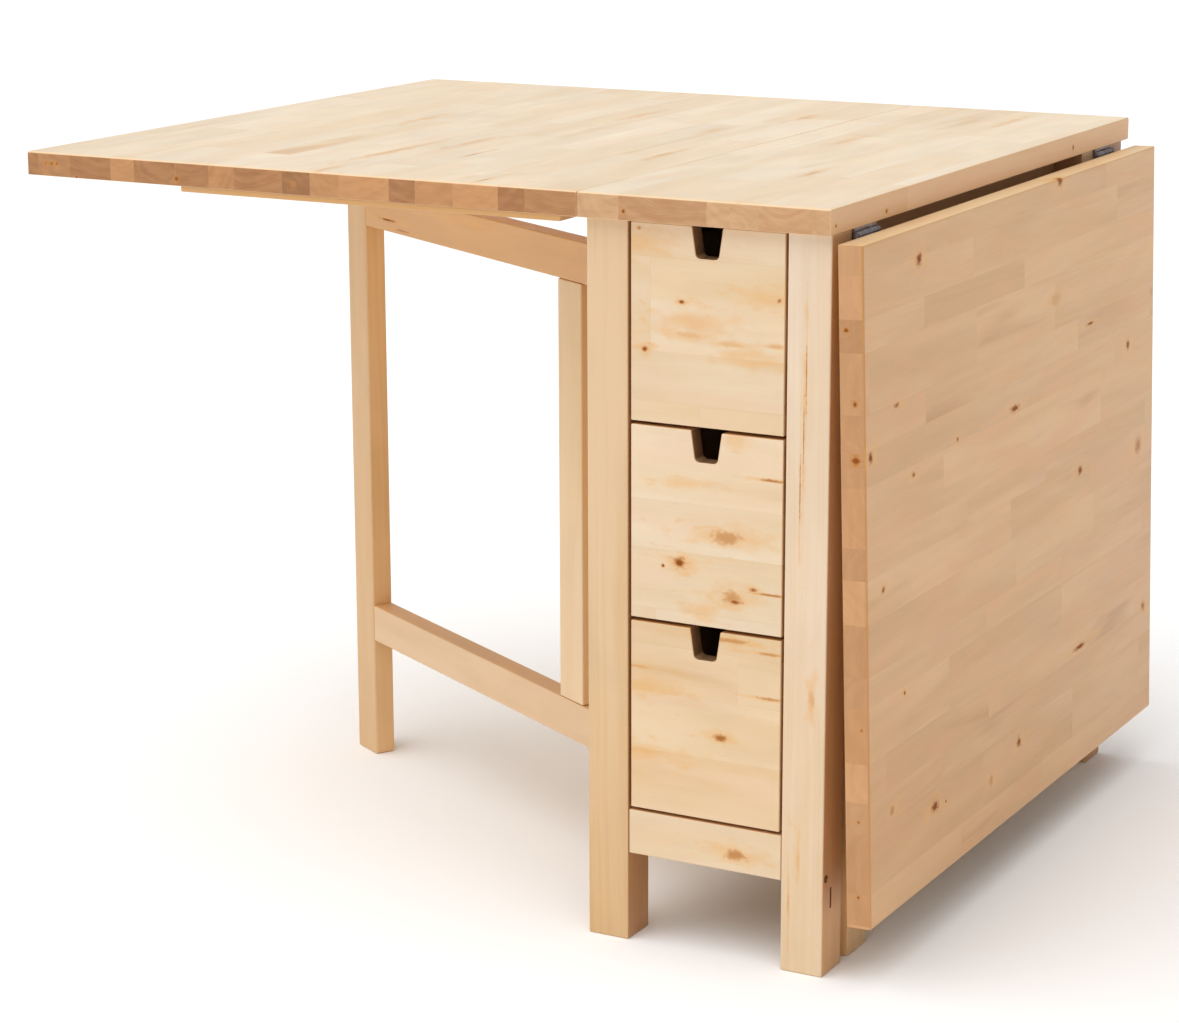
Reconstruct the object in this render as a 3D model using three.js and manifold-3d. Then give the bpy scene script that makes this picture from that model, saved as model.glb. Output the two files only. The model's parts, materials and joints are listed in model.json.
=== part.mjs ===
// Gateleg table with drawers: a narrow cabinet on four legs, a fixed centre top, two drop leaves and
// two swinging gates. Millimetres, +Z up. The left leaf is raised on its open gate and the right leaf
// hangs over its closed gate. +X is right, -Y is the front, and the origin is on the floor under the
// middle of the whole object as it stands.

import * as THREE from 'three';
import { mergeVertices } from 'three/addons/utils/BufferGeometryUtils.js';
import Module from 'manifold-3d';

const wasm = await Module();
wasm.setup();

// --- Driving dimensions -----------------------------------------------------------------------

const GAP = 0.3; // clearance kept between pieces that touch
const TABLE_HEIGHT = 740;
const TABLE_DEPTH = 800; // along the hinge lines
const TOP_THICKNESS = 24.5;
const CENTRE_WIDTH = 260;
const LEAF_LENGTH = 648;
const SEAM_GAP = 0.6; // between the centre top and a raised leaf
const HANGING_ANGLE = THREE.MathUtils.degToRad(88.2); // a leaf turns this far from raised to hanging

const CABINET_WIDTH = 253;
const CABINET_DEPTH = 776;
const LEG_SIZE = 44;
const PANEL_THICKNESS = 12;
const CARCASS_BOTTOM = 90.5;
const PLINTH_HEIGHT = 45.1;
const PLINTH_THICKNESS = 20;
const FRONT_SETBACK = 1; // drawer fronts and plinth sit this far behind the leg faces
const DIVIDER_THICKNESS = 12;

const DRAWER_LEVELS = ['low', 'middle', 'top'];
const DRAWER_PITCH = 192.7;
const FRONT_HEIGHT = 189.2;
const FRONT_THICKNESS = 19;
const FRONT_SIDE_GAP = 2.5;
const FIRST_FRONT_BOTTOM = 138.7;
const NOTCH_TOP_WIDTH = 31.5;
const NOTCH_BOTTOM_WIDTH = 22.5;
const NOTCH_DEPTH = 30;
const NOTCH_RADIUS = 5;
const BOX_RISE = 16; // from a front's lower edge to the underside of its box
const BOX_HEIGHT = 146;
const BOX_WIDTH = 158;
const BOX_WALL = 10;
const BOX_BASE = 6;
const BOX_REAR_CLEARANCE = 18; // from a box's back to the cabinet's middle
const RUNNER_WIDTH = 14;
const RUNNER_HEIGHT = 12;
const RUNNER_END_CLEARANCE = 1.5;

const HINGE_DROP = 6.7; // the leaf's axis lies this far under the underside of the tops
const HINGE_OFFSET_Y = 320;
const HINGE_LENGTH = 50;
const HINGE_REACH = 38.3; // from the axis to the far edge of a plate
const HINGE_PLATE = 2;
const HINGE_LINK_INSET = 1.4; // from the axis plane to the near face of a plate's turned-down link
const KNUCKLE_RADIUS = 3.5;
const KNUCKLE_MIDDLE = 16.6; // length of the moving knuckle between the two fixed ones
const HINGE_PIN_RADIUS = 1.5;

const BATTEN_THICKNESS = 5.5;
const BATTEN_WIDTH = 50;
const BATTEN_INSET = 2; // from the end of the leaf
const BATTEN_FROM_AXIS = 18.7;
const BATTEN_LENGTH = 437;

const GATE_THICKNESS = 24;
const GATE_LEG_WIDTH = 44;
const GATE_REACH = 611; // from the pivot to the far side of the floor leg
const GATE_LEG_HEIGHT = 703.9;
const GATE_RAIL_HEIGHT = 42;
const GATE_LOWER_RAIL_BOTTOM = 138.5;
const GATE_UPPER_RAIL_BOTTOM = 622;
const GATE_RAIL_OVERRUN = 14; // past the pivot
const GATE_POST_FROM_PIVOT = 107;
const GATE_POST_WIDTH = 45;
const GATE_PIVOT_Y = 284;
const GATE_OPEN_ANGLE = THREE.MathUtils.degToRad(60.5);

const PIVOT_PIN_RADIUS = 4;
const PIVOT_PIN_LENGTH = 75;
const LOWER_PIN_BOTTOM = 100;
const UPPER_PIN_BOTTOM = 630;
const PIVOT_BLOCK_LENGTH = 81.7;
const PIVOT_BLOCK_CLEARANCE = 3.3; // between a block and the gate rail beside it

const STOP_LENGTH = 58;
const STOP_BEHIND = 22; // from the gate's middle plane to the stop's trailing edge
const STOP_AHEAD = 32; // from the gate's middle plane to the stop's leading edge
const STOP_LIP = 10; // the lip hangs this far past the top of the floor leg

// --- Places worked out from them --------------------------------------------------------------

const UNDERSIDE = TABLE_HEIGHT - TOP_THICKNESS;
const WOOD_TOP = UNDERSIDE - GAP;
const HALF_DEPTH = TABLE_DEPTH / 2;
const HALF_CENTRE = CENTRE_WIDTH / 2;
const AXIS_X = HALF_CENTRE + SEAM_GAP / 2;
const AXIS_Z = UNDERSIDE - HINGE_DROP;
const LEG_OUTER_X = CABINET_WIDTH / 2;
const LEG_INNER_X = LEG_OUTER_X - LEG_SIZE;
const LEG_OUTER_Y = CABINET_DEPTH / 2;
const LEG_INNER_Y = LEG_OUTER_Y - LEG_SIZE;
const FRONT_FACE_Y = -LEG_OUTER_Y + FRONT_SETBACK;
const GATE_PIVOT_X = LEG_OUTER_X - GATE_THICKNESS / 2;

// --- Materials --------------------------------------------------------------------------------

const wood = (color) => new THREE.MeshStandardMaterial({ color, roughness: 0.55, metalness: 0 });
const topWood = wood(0xf0e1c8);
const leafWood = wood(0xe3c9a3);
const legWood = wood(0xe6cba3);
const frontWood = wood(0xeedab9);
const innerWood = wood(0xd8bd96);
const steel = new THREE.MeshStandardMaterial({ color: 0x8b8a8c, roughness: 0.4, metalness: 0.9 });

// --- Shape helpers ----------------------------------------------------------------------------

function box([x0, x1], [y0, y1], [z0, z1]) {
  const geometry = new THREE.BoxGeometry(x1 - x0, y1 - y0, z1 - z0);
  return geometry.translate((x0 + x1) / 2, (y0 + y1) / 2, (z0 + z1) / 2);
}

function rod(radius, axisDirection, from, to, segments = 24) {
  const geometry = new THREE.CylinderGeometry(radius, radius, to - from, segments);
  geometry.translate(0, (from + to) / 2, 0);
  if (axisDirection === 'z') geometry.rotateX(Math.PI / 2);
  return geometry;
}

// A list of [y, z] corners, made long along X from x0 to x1.
function extrudeAlongX(corners, x0, x1) {
  const shape = new THREE.Shape(corners.map(([y, z]) => new THREE.Vector2(y, z)));
  const geometry = new THREE.ExtrudeGeometry(shape, { depth: x1 - x0, bevelEnabled: false });
  const turn = new THREE.Matrix4().makeBasis(
    new THREE.Vector3(0, 1, 0),
    new THREE.Vector3(0, 0, 1),
    new THREE.Vector3(1, 0, 0),
  );
  return geometry.applyMatrix4(turn).translate(x0, 0, 0);
}

function toSolid(geometry) {
  const bare = geometry.clone();
  bare.deleteAttribute('normal');
  bare.deleteAttribute('uv');
  const merged = mergeVertices(bare, 1e-4);
  return new wasm.Manifold(new wasm.Mesh({
    numProp: 3,
    vertProperties: new Float32Array(merged.attributes.position.array),
    triVerts: new Uint32Array(merged.index.array),
  }));
}

function toGeometry(solid) {
  const mesh = solid.getMesh();
  const geometry = new THREE.BufferGeometry();
  geometry.setAttribute('position', new THREE.BufferAttribute(mesh.vertProperties, 3));
  geometry.setIndex(new THREE.BufferAttribute(mesh.triVerts, 1));
  geometry.computeVertexNormals();
  return geometry;
}

function join(...geometries) {
  return toGeometry(geometries.map(toSolid).reduce((sum, next) => sum.add(next)));
}

function cut(geometry, ...tools) {
  return toGeometry(tools.map(toSolid).reduce((rest, tool) => rest.subtract(tool), toSolid(geometry)));
}

function addPiece(group, name, geometry, material) {
  const mesh = new THREE.Mesh(geometry, material.clone());
  mesh.name = name;
  group.add(mesh);
}

// --- Centre top -------------------------------------------------------------------------------

// Where a hinge plate lies in a board, seen from the hinge axis, as a box to cut away.
function hingeRecess(direction) {
  const near = direction * (HINGE_LINK_INSET - GAP);
  const far = direction * (HINGE_REACH + GAP);
  return box(
    [Math.min(near, far), Math.max(near, far)],
    [-HINGE_LENGTH / 2 - GAP, HINGE_LENGTH / 2 + GAP],
    [HINGE_DROP - GAP, HINGE_DROP + HINGE_PLATE + GAP],
  );
}

function centreTop() {
  const board = box([-HALF_CENTRE, HALF_CENTRE], [-HALF_DEPTH, HALF_DEPTH], [UNDERSIDE, TABLE_HEIGHT]);
  const recesses = [];
  for (const side of [-1, 1]) {
    for (const end of [-1, 1]) {
      recesses.push(hingeRecess(-side).translate(side * AXIS_X, end * HINGE_OFFSET_Y, AXIS_Z));
    }
  }
  return cut(board, ...recesses);
}

// --- Cabinet ----------------------------------------------------------------------------------

function addLegs(group) {
  for (const [sideName, side] of [['left', -1], ['right', 1]]) {
    for (const [endName, end] of [['front', -1], ['back', 1]]) {
      const leg = box([-LEG_SIZE / 2, LEG_SIZE / 2], [-LEG_SIZE / 2, LEG_SIZE / 2], [0, WOOD_TOP]);
      leg.translate(side * (LEG_OUTER_X - LEG_SIZE / 2), end * (LEG_OUTER_Y - LEG_SIZE / 2), 0);
      addPiece(group, `leg_${endName}_${sideName}`, leg, legWood);
    }
  }
}

function drawerBottom(level) {
  return FIRST_FRONT_BOTTOM + level * DRAWER_PITCH;
}

function runnerTop(level) {
  return drawerBottom(level) + BOX_RISE - GAP;
}

function addRunners(group) {
  const half = LEG_OUTER_Y - FRONT_SETBACK - FRONT_THICKNESS - RUNNER_END_CLEARANCE;
  const outer = LEG_INNER_X - GAP;
  DRAWER_LEVELS.forEach((levelName, level) => {
    const heights = [runnerTop(level) - RUNNER_HEIGHT, runnerTop(level)];
    const left = box([-outer, RUNNER_WIDTH - outer], [-half, half], heights);
    const right = box([outer - RUNNER_WIDTH, outer], [-half, half], heights);
    addPiece(group, `runner_left_${levelName}`, left, innerWood);
    addPiece(group, `runner_right_${levelName}`, right, innerWood);
  });
}

// The divider stands across the middle of the cabinet and is notched round the six runners.
function divider() {
  const half = LEG_INNER_X - GAP;
  const board = box(
    [-half, half],
    [-DIVIDER_THICKNESS / 2, DIVIDER_THICKNESS / 2],
    [CARCASS_BOTTOM, WOOD_TOP],
  );
  const notches = [];
  for (const side of [-1, 1]) {
    DRAWER_LEVELS.forEach((levelName, level) => {
      const notch = box(
        [-RUNNER_WIDTH - GAP, RUNNER_WIDTH + GAP],
        [-DIVIDER_THICKNESS, DIVIDER_THICKNESS],
        [runnerTop(level) - RUNNER_HEIGHT - GAP, runnerTop(level) + GAP],
      );
      notches.push(notch.translate(side * half, 0, 0));
    });
  }
  return cut(board, ...notches);
}

// --- One end of the cabinet: plinth rail and three drawers ------------------------------------

function drawerFront() {
  const half = LEG_INNER_X - FRONT_SIDE_GAP;
  const top = FRONT_HEIGHT;
  const floor = top - NOTCH_DEPTH;
  const lean = Math.atan2((NOTCH_TOP_WIDTH - NOTCH_BOTTOM_WIDTH) / 2, NOTCH_DEPTH);
  const arcX = NOTCH_BOTTOM_WIDTH / 2 + NOTCH_RADIUS * (Math.tan(lean) - 1 / Math.cos(lean));
  const arcZ = floor + NOTCH_RADIUS;
  const outline = new THREE.Shape();
  outline.moveTo(-half, 0);
  outline.lineTo(half, 0);
  outline.lineTo(half, top);
  outline.lineTo(NOTCH_TOP_WIDTH / 2, top);
  outline.absarc(arcX, arcZ, NOTCH_RADIUS, -lean, -Math.PI / 2, true);
  outline.absarc(-arcX, arcZ, NOTCH_RADIUS, -Math.PI / 2, -Math.PI + lean, true);
  outline.lineTo(-NOTCH_TOP_WIDTH / 2, top);
  outline.lineTo(-half, top);
  outline.closePath();
  const geometry = new THREE.ExtrudeGeometry(outline, {
    depth: FRONT_THICKNESS,
    bevelEnabled: false,
    curveSegments: 5,
  });
  return geometry.rotateX(Math.PI / 2).translate(0, FRONT_FACE_Y + FRONT_THICKNESS, 0);
}

// Two sides, a back and a base; the drawer front closes the fourth side.
function drawerBox() {
  const half = BOX_WIDTH / 2;
  const near = FRONT_FACE_Y + FRONT_THICKNESS + GAP;
  const far = -BOX_REAR_CLEARANCE;
  const block = box([-half, half], [near, far], [BOX_RISE, BOX_RISE + BOX_HEIGHT]);
  const hollow = box(
    [BOX_WALL - half, half - BOX_WALL],
    [near - BOX_WALL, far - BOX_WALL],
    [BOX_RISE + BOX_BASE, BOX_RISE + BOX_HEIGHT + BOX_WALL],
  );
  return cut(block, hollow);
}

function cabinetEnd(endName, turn) {
  const end = new THREE.Group();
  end.rotation.z = turn;
  const plinth = box(
    [GAP - LEG_INNER_X, LEG_INNER_X - GAP],
    [FRONT_FACE_Y, FRONT_FACE_Y + PLINTH_THICKNESS],
    [CARCASS_BOTTOM, CARCASS_BOTTOM + PLINTH_HEIGHT],
  );
  addPiece(end, `plinth_rail_${endName}`, plinth, frontWood);
  DRAWER_LEVELS.forEach((levelName, level) => {
    const drawer = new THREE.Group();
    drawer.position.z = drawerBottom(level);
    addPiece(drawer, `drawer_${endName}_${levelName}_face`, drawerFront(), frontWood);
    addPiece(drawer, `drawer_${endName}_${levelName}_box`, drawerBox(), innerWood);
    end.add(drawer);
  });
  return end;
}

// --- Leaf hinge: the axis runs along Y through the origin -------------------------------------

// The fixed half lies on the -X side with two knuckles and the pin, the moving half on the +X side
// with the middle knuckle, whose bore clears the pin.
function hingeHalf(isFixed) {
  const side = isFixed ? -1 : 1;
  const span = (a, b) => [Math.min(side * a, side * b), Math.max(side * a, side * b)];
  const halfLength = HINGE_LENGTH / 2;
  const linkOuter = HINGE_LINK_INSET + HINGE_PLATE;
  const wholeLength = [-halfLength, halfLength];
  const plateHeights = [HINGE_DROP, HINGE_DROP + HINGE_PLATE];
  const linkBottom = KNUCKLE_RADIUS + GAP;
  const linkHeights = [linkBottom, HINGE_DROP + HINGE_PLATE];
  const plate = box(span(HINGE_LINK_INSET, HINGE_REACH), wholeLength, plateHeights);
  const link = box(span(HINGE_LINK_INSET, linkOuter), wholeLength, linkHeights);
  const lugTo = (range) => box(span(HINGE_LINK_INSET, linkOuter - GAP), range, [0, linkBottom + GAP]);
  if (!isFixed) {
    const middle = [-KNUCKLE_MIDDLE / 2, KNUCKLE_MIDDLE / 2];
    const bodyOfHalf = join(plate, link, lugTo(middle), rod(KNUCKLE_RADIUS, 'y', ...middle));
    return cut(bodyOfHalf, rod(HINGE_PIN_RADIUS + GAP, 'y', -halfLength, halfLength, 16));
  }
  const inner = KNUCKLE_MIDDLE / 2 + GAP;
  const pieces = [plate, link, rod(HINGE_PIN_RADIUS, 'y', -halfLength, halfLength, 16)];
  for (const range of [[-halfLength, -inner], [inner, halfLength]]) {
    pieces.push(lugTo(range), rod(KNUCKLE_RADIUS, 'y', ...range));
  }
  return join(...pieces);
}

// --- Leaf: the hinge axis is the group's own Y axis, and the raised leaf runs along +X ---------

function leafBoard() {
  const board = box(
    [SEAM_GAP / 2, SEAM_GAP / 2 + LEAF_LENGTH],
    [-HALF_DEPTH, HALF_DEPTH],
    [HINGE_DROP, HINGE_DROP + TOP_THICKNESS],
  );
  const recesses = [-1, 1].map((end) => hingeRecess(1).translate(0, end * HINGE_OFFSET_Y, 0));
  return cut(board, ...recesses);
}

// A thin batten lies under the end of the leaf where its gate is pivoted.
function batten() {
  const top = HINGE_DROP - GAP;
  const outer = HALF_DEPTH - BATTEN_INSET;
  return box(
    [BATTEN_FROM_AXIS, BATTEN_FROM_AXIS + BATTEN_LENGTH],
    [outer - BATTEN_WIDTH, outer],
    [top - BATTEN_THICKNESS, top],
  );
}

// The open gate's floor leg stands under this block, and its lip stops the leg.
function gateStop() {
  const top = HINGE_DROP - GAP;
  const padBottom = GATE_LEG_HEIGHT + GAP - AXIS_Z;
  const lipFace = GATE_THICKNESS / 2 + GAP;
  const corners = [
    [-STOP_BEHIND, padBottom],
    [lipFace, padBottom],
    [lipFace, padBottom - STOP_LIP],
    [STOP_AHEAD, padBottom - STOP_LIP],
    [STOP_AHEAD, top],
    [-STOP_BEHIND, top],
  ];
  const middle = GATE_REACH - GATE_LEG_WIDTH / 2;
  const block = extrudeAlongX(corners, middle - STOP_LENGTH / 2, middle + STOP_LENGTH / 2);
  block.rotateZ(GATE_OPEN_ANGLE - Math.PI / 2);
  return block.translate(GATE_PIVOT_X - AXIS_X, GATE_PIVOT_Y, 0);
}

function leaf(sideName, endNames, foldAngle) {
  const group = new THREE.Group();
  group.position.set(AXIS_X, 0, AXIS_Z);
  group.rotation.y = foldAngle;
  addPiece(group, `leaf_${sideName}`, leafBoard(), leafWood);
  addPiece(group, `batten_${sideName}`, batten(), legWood);
  addPiece(group, `gate_stop_${sideName}`, gateStop(), innerWood);
  [-1, 1].forEach((end, index) => {
    const movingHalf = hingeHalf(false).translate(0, end * HINGE_OFFSET_Y, 0);
    addPiece(group, `hinge_moving_${endNames[index]}_${sideName}`, movingHalf, steel);
  });
  return group;
}

// --- Gate: the pivot is the group's own Z axis, and the gate runs along +X ---------------------

function gateRail(bottom) {
  const half = GATE_THICKNESS / 2;
  const legSide = GATE_REACH - GATE_LEG_WIDTH - GAP;
  const rail = box([-GATE_RAIL_OVERRUN, legSide], [-half, half], [bottom, bottom + GATE_RAIL_HEIGHT]);
  const bore = rod(PIVOT_PIN_RADIUS + GAP, 'z', bottom - 1, bottom + GATE_RAIL_HEIGHT + 1);
  return cut(rail, bore);
}

function gate(sideName, closedTurn, openAngle) {
  const group = new THREE.Group();
  group.position.set(GATE_PIVOT_X, GATE_PIVOT_Y, 0);
  group.rotation.z = closedTurn + openAngle;
  const thickness = [-GATE_THICKNESS / 2, GATE_THICKNESS / 2];
  const floorLeg = box([GATE_REACH - GATE_LEG_WIDTH, GATE_REACH], thickness, [0, GATE_LEG_HEIGHT]);
  const post = box(
    [GATE_POST_FROM_PIVOT, GATE_POST_FROM_PIVOT + GATE_POST_WIDTH],
    thickness,
    [GATE_LOWER_RAIL_BOTTOM + GATE_RAIL_HEIGHT + GAP, GATE_UPPER_RAIL_BOTTOM - GAP],
  );
  addPiece(group, `gate_${sideName}_floor_leg`, floorLeg, legWood);
  addPiece(group, `gate_${sideName}_inner_post`, post, legWood);
  addPiece(group, `gate_${sideName}_lower_rail`, gateRail(GATE_LOWER_RAIL_BOTTOM), legWood);
  addPiece(group, `gate_${sideName}_upper_rail`, gateRail(GATE_UPPER_RAIL_BOTTOM), legWood);
  return group;
}

function pivotBlock(bottom, top) {
  const nearX = LEG_INNER_X + PANEL_THICKNESS + GAP;
  const farY = LEG_INNER_Y - GAP;
  const block = box([nearX, LEG_OUTER_X], [farY - PIVOT_BLOCK_LENGTH, farY], [bottom, top]);
  const bore = rod(PIVOT_PIN_RADIUS + GAP, 'z', bottom - 1, top + 1);
  return cut(block, bore.translate(GATE_PIVOT_X, GATE_PIVOT_Y, 0));
}

// --- One long side: panel, pivots, gate, leaf and hinges --------------------------------------

// Drawn for the right side; the left side is the same turned half round, so its front is this back.
function longSide(sideName, endNames, turn, foldAngle, gateAngle) {
  const side = new THREE.Group();
  side.rotation.z = turn;
  const panel = box(
    [LEG_INNER_X, LEG_INNER_X + PANEL_THICKNESS],
    [GAP - LEG_INNER_Y, LEG_INNER_Y - GAP],
    [CARCASS_BOTTOM, WOOD_TOP],
  );
  const lowerBlockTop = GATE_LOWER_RAIL_BOTTOM - PIVOT_BLOCK_CLEARANCE;
  const upperBlockBottom = GATE_UPPER_RAIL_BOTTOM + GATE_RAIL_HEIGHT + PIVOT_BLOCK_CLEARANCE;
  addPiece(side, `side_panel_${sideName}`, panel, innerWood);
  addPiece(side, `pivot_block_lower_${sideName}`, pivotBlock(CARCASS_BOTTOM, lowerBlockTop), innerWood);
  addPiece(side, `pivot_block_upper_${sideName}`, pivotBlock(upperBlockBottom, WOOD_TOP), innerWood);
  for (const [levelName, bottom] of [['lower', LOWER_PIN_BOTTOM], ['upper', UPPER_PIN_BOTTOM]]) {
    const pin = rod(PIVOT_PIN_RADIUS, 'z', bottom, bottom + PIVOT_PIN_LENGTH);
    pin.translate(GATE_PIVOT_X, GATE_PIVOT_Y, 0);
    addPiece(side, `pivot_pin_${levelName}_${sideName}`, pin, steel);
  }
  [-1, 1].forEach((end, index) => {
    const fixedHalf = hingeHalf(true).translate(AXIS_X, end * HINGE_OFFSET_Y, AXIS_Z);
    addPiece(side, `hinge_fixed_${endNames[index]}_${sideName}`, fixedHalf, steel);
  });
  side.add(gate(sideName, -Math.PI / 2, gateAngle));
  side.add(leaf(sideName, endNames, foldAngle));
  return side;
}

// --- The whole table --------------------------------------------------------------------------

const table = new THREE.Group();
addPiece(table, 'centre_top', centreTop(), topWood);
addLegs(table);
addRunners(table);
addPiece(table, 'centre_divider', divider(), innerWood);
table.add(cabinetEnd('front', 0));
table.add(cabinetEnd('back', Math.PI));
table.add(longSide('right', ['front', 'back'], 0, HANGING_ANGLE, 0));
table.add(longSide('left', ['back', 'front'], Math.PI, 0, GATE_OPEN_ANGLE));

// The raised leaf's end and the hanging leaf's lower outer corner bound the object in X.
const leafEnd = SEAM_GAP / 2 + LEAF_LENGTH;
const leafFace = HINGE_DROP + TOP_THICKNESS;
const leftmost = -(AXIS_X + leafEnd);
const rightmost = AXIS_X + leafEnd * Math.cos(HANGING_ANGLE) + leafFace * Math.sin(HANGING_ANGLE);
table.position.x = -(leftmost + rightmost) / 2;

export default table;
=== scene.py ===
import json
import math
from collections import namedtuple

import bmesh
import bpy
from mathutils import Matrix, Vector


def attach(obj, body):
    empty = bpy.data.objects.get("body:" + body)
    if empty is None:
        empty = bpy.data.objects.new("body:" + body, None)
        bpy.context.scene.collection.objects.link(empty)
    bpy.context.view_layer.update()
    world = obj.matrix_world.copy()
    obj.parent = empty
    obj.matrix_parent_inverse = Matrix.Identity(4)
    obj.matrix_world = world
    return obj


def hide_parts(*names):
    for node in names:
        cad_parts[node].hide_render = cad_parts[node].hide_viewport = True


# Gateleg table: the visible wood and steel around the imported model. Metres, +Z up, -Y is the front.
# Each wooden piece is drawn in the frame where its body is square to the axes, and then turned back
# to the rest pose, because the right leaf hangs and the left gate stands open there.

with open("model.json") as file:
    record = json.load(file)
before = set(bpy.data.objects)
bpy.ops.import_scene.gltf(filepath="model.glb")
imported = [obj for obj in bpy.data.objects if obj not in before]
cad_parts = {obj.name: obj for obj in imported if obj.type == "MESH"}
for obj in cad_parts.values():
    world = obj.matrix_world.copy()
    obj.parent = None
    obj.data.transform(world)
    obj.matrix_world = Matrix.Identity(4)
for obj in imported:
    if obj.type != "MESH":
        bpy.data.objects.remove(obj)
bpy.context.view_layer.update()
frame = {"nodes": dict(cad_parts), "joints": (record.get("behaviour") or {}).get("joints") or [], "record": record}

BEHAVIOUR = frame["record"]["behaviour"]
NODE_BODY = {node: body for body, nodes in BEHAVIOUR["bodies"].items() for node in nodes}
JOINTS = {joint["name"]: joint for joint in frame["joints"]}

SIDES = {"left": -1, "right": 1}
ENDS = {"front": -1, "back": 1}
LEVELS = ("low", "middle", "top")

# --- Sizes that the CAD nodes' boxes don't give -------------------------------------------------

# Hinges and drawer boxes, as in the CAD.
GAP = 0.0003
HINGE_LINK_INSET = 0.0014
PLATE = 0.002
KNUCKLE_RADIUS = 0.0035
KNUCKLE_MIDDLE = 0.0166
PIN_RADIUS = 0.0015
BOX_WALL = 0.010
BOX_BASE = 0.006

# How far each kind of edge is rounded.
TOP_EDGE = 0.0028
TOP_UNDER_EDGE = 0.0009
HINGE_SIDE_EDGE = 0.002
HINGE_SIDE_CORNER = 0.0009
BATTEN_EDGE = 0.0012
LEG_EDGE = 0.0018
RAIL_EDGE = 0.0015
FRONT_EDGE = 0.0012
INNER_EDGE = 0.0007
STOP_EDGE = 0.001
SHORT_EDGE = 0.006  # edges shorter than this stay sharp

# Grain and notches.
LEAF_STAVE = 0.0415
CENTRE_STAVE = 0.066
FRONT_STAVE = 0.064
PANEL_STAVE = 0.09
NOTCH_REACH = 0.017
RING_WIDTH = 0.0027

# Screws, pins, bolts and cuts. A hinge's screws are at these distances from the axis and the middle.
HINGE_SCREW_RADIUS = 0.0034
HINGE_SCREWS = ((0.012, -0.016), (0.012, 0.016), (0.030, -0.009), (0.030, 0.009))
BATTEN_SCREW_RADIUS = 0.0036
BATTEN_SCREW_STAGGER = 0.010
BATTEN_SCREWS = 4
RIDGES = 3
HEAD_THICKNESS = 0.0004

BOLT_HOLE_RADIUS = 0.0042
BOLT_HOLE_DEPTH = 0.007
BOLT_FROM_FACE = 0.0075
BOLT_HEIGHT = 0.098
KERF_FROM_FACE = 0.0185
KERF_HALF_WIDTH = 0.0018
KERF_DEPTH = 0.009
KERF_FOOT = 0.065
KERF_TOP = 0.086
CUT_START = 0.002

CORNER_ANGLE = math.radians(50)
CREASE_ANGLE = math.radians(38)

# --- Woods --------------------------------------------------------------------------------------

# A timber's colours, then how strong its patches, heart streaks, stave tints and contrasts, glue joints and
# rims are. The side shading is a tint of painted shade on the board's narrow sides, painted light where it is
# above 1, and the far side shading is its share on the side against the width.
Timber = namedtuple(
    "Timber",
    "pale tan rosy brown end_pale end_dark edge patch heart tint contrast joint cheeks far_cheek rim",
)

TOP_WOOD = Timber(
    pale=(0.93, 0.785, 0.595), tan=(0.87, 0.66, 0.42), rosy=(0.90, 0.67, 0.465), brown=(0.72, 0.42, 0.19),
    end_pale=(0.73, 0.45, 0.235), end_dark=(0.50, 0.245, 0.105), edge=(0.80, 0.50, 0.23),
    patch=0.8, heart=0.55, tint=0.05, contrast=0.5, joint=0.16, cheeks=(0.83, 0.60, 0.38),
    far_cheek=0.5, rim=0.6,
)
RAISED_LEAF_WOOD = TOP_WOOD._replace(end_pale=(0.59, 0.29, 0.115), end_dark=(0.35, 0.15, 0.052))
# The right leaf hangs away from the lamps in the rest pose: its darker, more orange face colours are painted warm
# shade, and its side shading lifts its narrow sides back to a lit tone with painted light.
HANGING_LEAF_SHADE_WOOD = TOP_WOOD._replace(
    pale=(0.745, 0.435, 0.195), tan=(0.64, 0.345, 0.13), rosy=(0.72, 0.37, 0.155), brown=(0.50, 0.225, 0.07),
    end_pale=(0.62, 0.33, 0.15), end_dark=(0.50, 0.245, 0.10), edge=(0.57, 0.24, 0.055),
    patch=1.15, heart=0.6, tint=0.05, contrast=0.26, joint=0.07, cheeks=(1.17, 1.43, 1.85),
    far_cheek=1.0, rim=0.8,
)
FRONT_WOOD = TOP_WOOD._replace(
    pale=(0.80, 0.63, 0.435), tan=(0.75, 0.53, 0.295), rosy=(0.80, 0.57, 0.385), brown=(0.62, 0.36, 0.15),
    end_pale=(0.60, 0.34, 0.155), end_dark=(0.44, 0.22, 0.085), edge=(0.52, 0.26, 0.09),
    patch=1.0, heart=0.45, tint=0.06, contrast=0.45, joint=0.12, cheeks=(0.86, 0.66, 0.46),
    far_cheek=1.0, rim=0.7,
)
MIDDLE_FRONT_WOOD = FRONT_WOOD._replace(pale=(0.81, 0.65, 0.465), patch=0.8)
# The low drawer front is a little tanner: painted shade, as the light falls off towards the floor.
LOW_FRONT_SHADED_WOOD = FRONT_WOOD._replace(pale=(0.79, 0.60, 0.385), tan=(0.73, 0.49, 0.255))
LEG_WOOD = TOP_WOOD._replace(
    pale=(0.77, 0.54, 0.32), tan=(0.64, 0.385, 0.155), rosy=(0.74, 0.49, 0.28),
    patch=0.8, heart=0.15, cheeks=(0.76, 0.57, 0.44), far_cheek=0.3, rim=0.2,
)
PALE_LEG_WOOD = LEG_WOOD._replace(
    pale=(0.82, 0.65, 0.48), tan=(0.72, 0.51, 0.29), rosy=(0.80, 0.60, 0.42), cheeks=(0.87, 0.65, 0.44)
)
GATE_LEG_WOOD = LEG_WOOD._replace(
    pale=(0.71, 0.46, 0.235), tan=(0.61, 0.35, 0.135), rosy=(0.68, 0.41, 0.19),
    cheeks=(1.19, 1.19, 1.19), far_cheek=1.0,
)
GATE_POST_WOOD = LEG_WOOD._replace(
    pale=(0.80, 0.59, 0.36), tan=(0.70, 0.46, 0.21), rosy=(0.77, 0.53, 0.31),
    cheeks=(1.0, 0.92, 0.82), far_cheek=1.0,
)
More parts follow.
